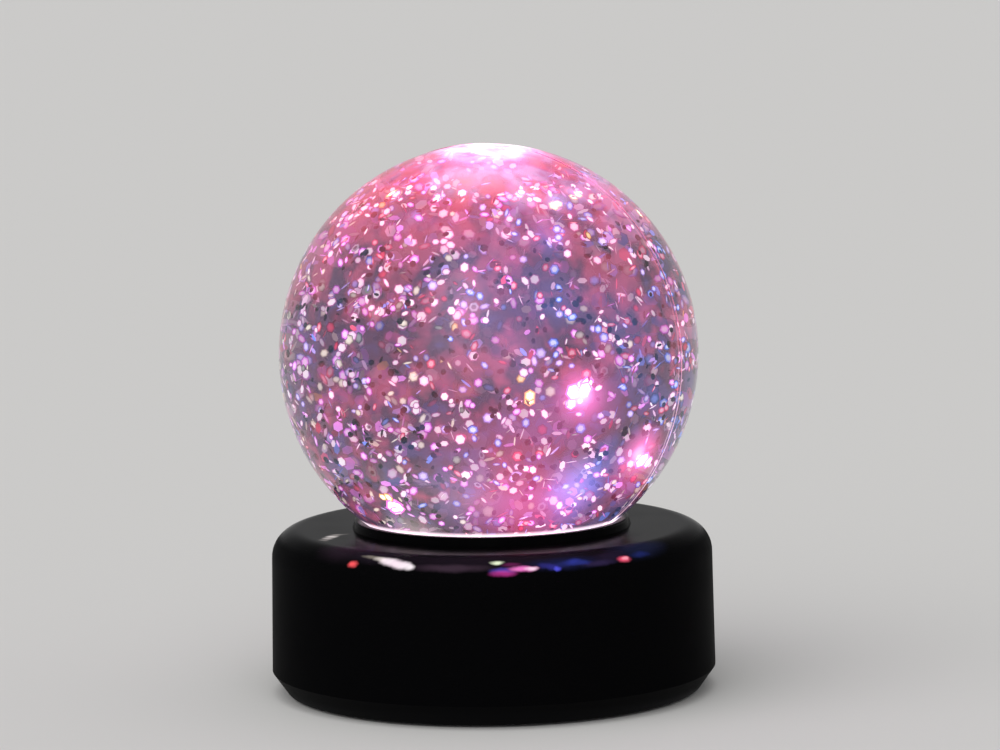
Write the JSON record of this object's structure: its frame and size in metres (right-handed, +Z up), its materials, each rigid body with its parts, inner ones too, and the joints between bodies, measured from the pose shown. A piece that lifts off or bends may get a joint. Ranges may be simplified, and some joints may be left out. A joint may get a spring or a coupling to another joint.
{
  "type": "light-up glitter ball",
  "caption": "Lit desk lamp: a clear liquid-filled globe of drifting glitter flakes on a low round black base, with a magnet-driven stirrer, a slide switch and a battery box.",
  "frame": {"origin": "on the table under the middle of the base", "axes": "+Z up, -Y to the front that the picture shows, +Y to the switch at the back"},
  "size_m": [0.1276, 0.1276, 0.157],
  "materials": {
    "clear_plastic": "clear, polished",
    "tinted_liquid": "clear liquid, lit from below",
    "foil_flakes": "metallised film, lit from below",
    "black_gloss_plastic": "gloss black",
    "black_satin_plastic": "satin black side, glossier top",
    "black_matte_plastic": "matte black",
    "black_rubber": "matte black",
    "white_plastic": "moulded white",
    "bright_steel": "bright",
    "nickel": "nickel plated",
    "brass": "plain",
    "green_laminate": "solder mask",
    "red_lamp": "lit",
    "green_lamp": "lit",
    "blue_lamp": "lit",
    "cell_case": "printed sleeve",
    "red_wire": "plain",
    "black_wire": "plain"
  },
  "bodies": {
    "lamp": {"globe": "clear_plastic", "liquid": "tinted_liquid", "glitter": "foil_flakes", "collar_ring": "black_gloss_plastic", "housing": "black_satin_plastic", "bottom_cover": "black_matte_plastic", "globe_plug": "clear_plastic", "neck_seal": "black_rubber", "impeller_pin": "bright_steel", "impeller_cap": "white_plastic", "motor_can": "bright_steel", "motor_bell": "white_plastic", "motor_terminals": "brass", "motor_screws": "bright_steel", "motor_plate": "white_plastic", "plug_screws": "bright_steel", "board": "green_laminate", "red_lamps": "red_lamp", "green_lamps": "green_lamp", "blue_lamps": "blue_lamp", "control_chip": "black_matte_plastic", "switch_frame": "bright_steel", "switch_screws": "bright_steel", "cells": "cell_case", "contact_plates": "nickel", "contact_springs": "nickel", "cover_screws": "bright_steel", "feet": "black_rubber", "red_wires": "red_wire", "black_wires": "black_wire"},
    "drive": {"magnet_carrier": "white_plastic", "carrier_magnets": "nickel", "motor_shaft": "bright_steel"},
    "stirrer": {"impeller": "white_plastic", "impeller_magnets": "nickel"},
    "switch": {"switch_knob": "black_matte_plastic"},
    "door": {"battery_door": "black_matte_plastic", "door_screws": "bright_steel"}
  },
  "joints": [
    {"name": "drive_spin", "type": "hinge", "parent": "lamp", "child": "drive", "pos_m": [0, 0, 0.036], "axis": [0, 0, 1], "continuous": true},
    {"name": "stirrer_spin", "type": "hinge", "parent": "lamp", "child": "stirrer", "pos_m": [0, 0, 0.048], "axis": [0, 0, 1], "continuous": true},
    {"name": "switch_slide", "type": "slide", "parent": "lamp", "child": "switch", "axis": [1, 0, 0], "range_m": [-0.004, 0]},
    {"name": "door_lift", "type": "slide", "parent": "lamp", "child": "door", "axis": [0, 0, -1], "range_m": [0, 0.03]}
  ],
  "couplings": [
    {"joint": "stirrer_spin", "follows": "drive_spin", "ratio": 1}
  ]
}
